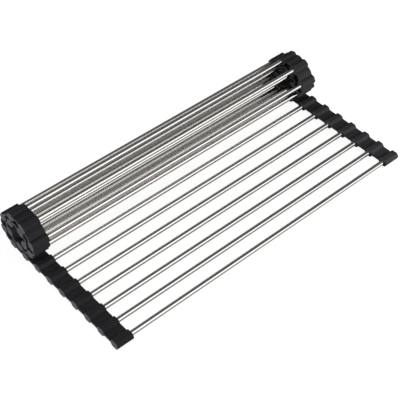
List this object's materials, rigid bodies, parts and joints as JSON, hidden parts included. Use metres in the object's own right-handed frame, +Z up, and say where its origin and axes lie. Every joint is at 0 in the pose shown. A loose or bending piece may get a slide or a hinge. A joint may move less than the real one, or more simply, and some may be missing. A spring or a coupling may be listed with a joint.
{
  "type": "roll up dish drying rack",
  "caption": "Drying rack of parallel stainless tubes between flexible silicone side strips, lying flat at the front and wound into a roll at the rear.",
  "frame": {"origin": "centre of the bounding box, on the plane that the rack stands on", "axes": "+X along the tubes, to the right seen from the flat front edge; +Y from the front edge to the roll; +Z up"},
  "size_m": [0.436, 0.2104, 0.0596],
  "materials": {
    "stainless": "polished stainless steel",
    "silicone": "matte moulded silicone"
  },
  "bodies": {
    "bay_01": {"tube_01": "stainless", "left_link_01": "silicone", "right_link_01": "silicone"},
    "bay_02": {"tube_02": "stainless", "left_link_02": "silicone", "right_link_02": "silicone"},
    "bay_03": {"tube_03": "stainless", "left_link_03": "silicone", "right_link_03": "silicone"},
    "bay_04": {"tube_04": "stainless", "left_link_04": "silicone", "right_link_04": "silicone"},
    "bay_05": {"tube_05": "stainless", "left_link_05": "silicone", "right_link_05": "silicone"},
    "bay_06": {"tube_06": "stainless", "left_link_06": "silicone", "right_link_06": "silicone"},
    "bay_07": {"tube_07": "stainless", "left_link_07": "silicone", "right_link_07": "silicone"},
    "bay_08": {"tube_08": "stainless", "left_link_08": "silicone", "right_link_08": "silicone"},
    "bay_09": {"tube_09": "stainless", "left_link_09": "silicone", "right_link_09": "silicone"},
    "bay_10": {"tube_10": "stainless", "left_link_10": "silicone", "right_link_10": "silicone"},
    "bay_11": {"tube_11": "stainless", "left_link_11": "silicone", "right_link_11": "silicone"},
    "bay_12": {"tube_12": "stainless", "left_link_12": "silicone", "right_link_12": "silicone"},
    "bay_13": {"tube_13": "stainless", "left_link_13": "silicone", "right_link_13": "silicone"},
    "bay_14": {"tube_14": "stainless", "left_link_14": "silicone", "right_link_14": "silicone"},
    "bay_15": {"tube_15": "stainless", "left_link_15": "silicone", "right_link_15": "silicone"},
    "bay_16": {"tube_16": "stainless", "left_link_16": "silicone", "right_link_16": "silicone"},
    "bay_17": {"tube_17": "stainless", "left_link_17": "silicone", "right_link_17": "silicone"},
    "bay_18": {"tube_18": "stainless", "left_link_18": "silicone", "right_link_18": "silicone"},
    "bay_19": {"tube_19": "stainless", "left_link_19": "silicone", "right_link_19": "silicone"},
    "bay_20": {"tube_20": "stainless", "left_link_20": "silicone", "right_link_20": "silicone"}
  },
  "joints": [
    {"name": "web_08_09", "type": "hinge", "parent": "bay_08", "child": "bay_09", "pos_m": [0, 0.07294, 0.005], "axis": [1, 0, 0], "range_deg": [-12, 0]},
    {"name": "unroll_09_10", "type": "hinge", "parent": "bay_09", "child": "bay_10", "pos_m": [0, 0.09544, 0.00978], "axis": [1, 0, 0], "range_deg": [-57, 0]},
    {"name": "web_10_11", "type": "hinge", "parent": "bay_10", "child": "bay_11", "pos_m": [0, 0.10368, 0.03125], "axis": [1, 0, 0], "range_deg": [-55, 0]},
    {"name": "web_11_12", "type": "hinge", "parent": "bay_11", "child": "bay_12", "pos_m": [0, 0.09082, 0.05032], "axis": [1, 0, 0], "range_deg": [-37, 0]},
    {"name": "web_12_13", "type": "hinge", "parent": "bay_12", "child": "bay_13", "pos_m": [0, 0.06907, 0.05781], "axis": [1, 0, 0], "range_deg": [-48, 0]},
    {"name": "web_13_14", "type": "hinge", "parent": "bay_13", "child": "bay_14", "pos_m": [0, 0.04896, 0.04666], "axis": [1, 0, 0], "range_deg": [-37, 0]},
    {"name": "web_14_15", "type": "hinge", "parent": "bay_14", "child": "bay_15", "pos_m": [0, 0.0396, 0.02565], "axis": [1, 0, 0], "range_deg": [-82, 0]},
    {"name": "web_15_16", "type": "hinge", "parent": "bay_15", "child": "bay_16", "pos_m": [0, 0.05911, 0.01346], "axis": [1, 0, 0], "range_deg": [-37, 0]},
    {"name": "web_16_17", "type": "hinge", "parent": "bay_16", "child": "bay_17", "pos_m": [0, 0.08202, 0.01546], "axis": [1, 0, 0], "range_deg": [-57, 0]},
    {"name": "web_17_18", "type": "hinge", "parent": "bay_17", "child": "bay_18", "pos_m": [0, 0.09282, 0.03577], "axis": [1, 0, 0], "range_deg": [-85, 0]},
    {"name": "web_18_19", "type": "hinge", "parent": "bay_18", "child": "bay_19", "pos_m": [0, 0.07353, 0.0483], "axis": [1, 0, 0], "range_deg": [-64, 0]},
    {"name": "web_19_20", "type": "hinge", "parent": "bay_19", "child": "bay_20", "pos_m": [0, 0.05381, 0.03645], "axis": [1, 0, 0], "range_deg": [-85, 0]},
    {"name": "drape_07_08", "type": "hinge", "parent": "bay_08", "child": "bay_07", "pos_m": [0, 0.04994, 0.005], "axis": [-1, 0, 0], "range_deg": [-30, 0]},
    {"name": "web_06_07", "type": "hinge", "parent": "bay_07", "child": "bay_06", "pos_m": [0, 0.02694, 0.005], "axis": [-1, 0, 0], "range_deg": [-30, 0]},
    {"name": "web_05_06", "type": "hinge", "parent": "bay_06", "child": "bay_05", "pos_m": [0, 0.00394, 0.005], "axis": [-1, 0, 0], "range_deg": [-30, 0]},
    {"name": "curl_04_05", "type": "hinge", "parent": "bay_05", "child": "bay_04", "pos_m": [0, -0.01906, 0.005], "axis": [-1, 0, 0], "range_deg": [0, 60]},
    {"name": "web_03_04", "type": "hinge", "parent": "bay_04", "child": "bay_03", "pos_m": [0, -0.04206, 0.005], "axis": [-1, 0, 0], "range_deg": [0, 60]},
    {"name": "web_02_03", "type": "hinge", "parent": "bay_03", "child": "bay_02", "pos_m": [0, -0.06506, 0.005], "axis": [-1, 0, 0], "range_deg": [0, 60]},
    {"name": "web_01_02", "type": "hinge", "parent": "bay_02", "child": "bay_01", "pos_m": [0, -0.08806, 0.005], "axis": [-1, 0, 0], "range_deg": [0, 60]}
  ],
  "couplings": [
    {"joint": "web_08_09", "follows": "unroll_09_10", "ratio": 0.21053},
    {"joint": "web_10_11", "follows": "unroll_09_10", "ratio": 0.96491},
    {"joint": "web_11_12", "follows": "unroll_09_10", "ratio": 0.64912},
    {"joint": "web_12_13", "follows": "unroll_09_10", "ratio": 0.8421},
    {"joint": "web_13_14", "follows": "unroll_09_10", "ratio": 0.64912},
    {"joint": "web_14_15", "follows": "unroll_09_10", "ratio": 1.4386},
    {"joint": "web_15_16", "follows": "unroll_09_10", "ratio": 0.64912},
    {"joint": "web_16_17", "follows": "unroll_09_10", "ratio": 1},
    {"joint": "web_17_18", "follows": "unroll_09_10", "ratio": 1.4912},
    {"joint": "web_18_19", "follows": "unroll_09_10", "ratio": 1.1228},
    {"joint": "web_19_20", "follows": "unroll_09_10", "ratio": 1.4912},
    {"joint": "web_06_07", "follows": "drape_07_08", "ratio": 1},
    {"joint": "web_05_06", "follows": "drape_07_08", "ratio": 1},
    {"joint": "web_03_04", "follows": "curl_04_05", "ratio": 1},
    {"joint": "web_02_03", "follows": "curl_04_05", "ratio": 1},
    {"joint": "web_01_02", "follows": "curl_04_05", "ratio": 1}
  ]
}
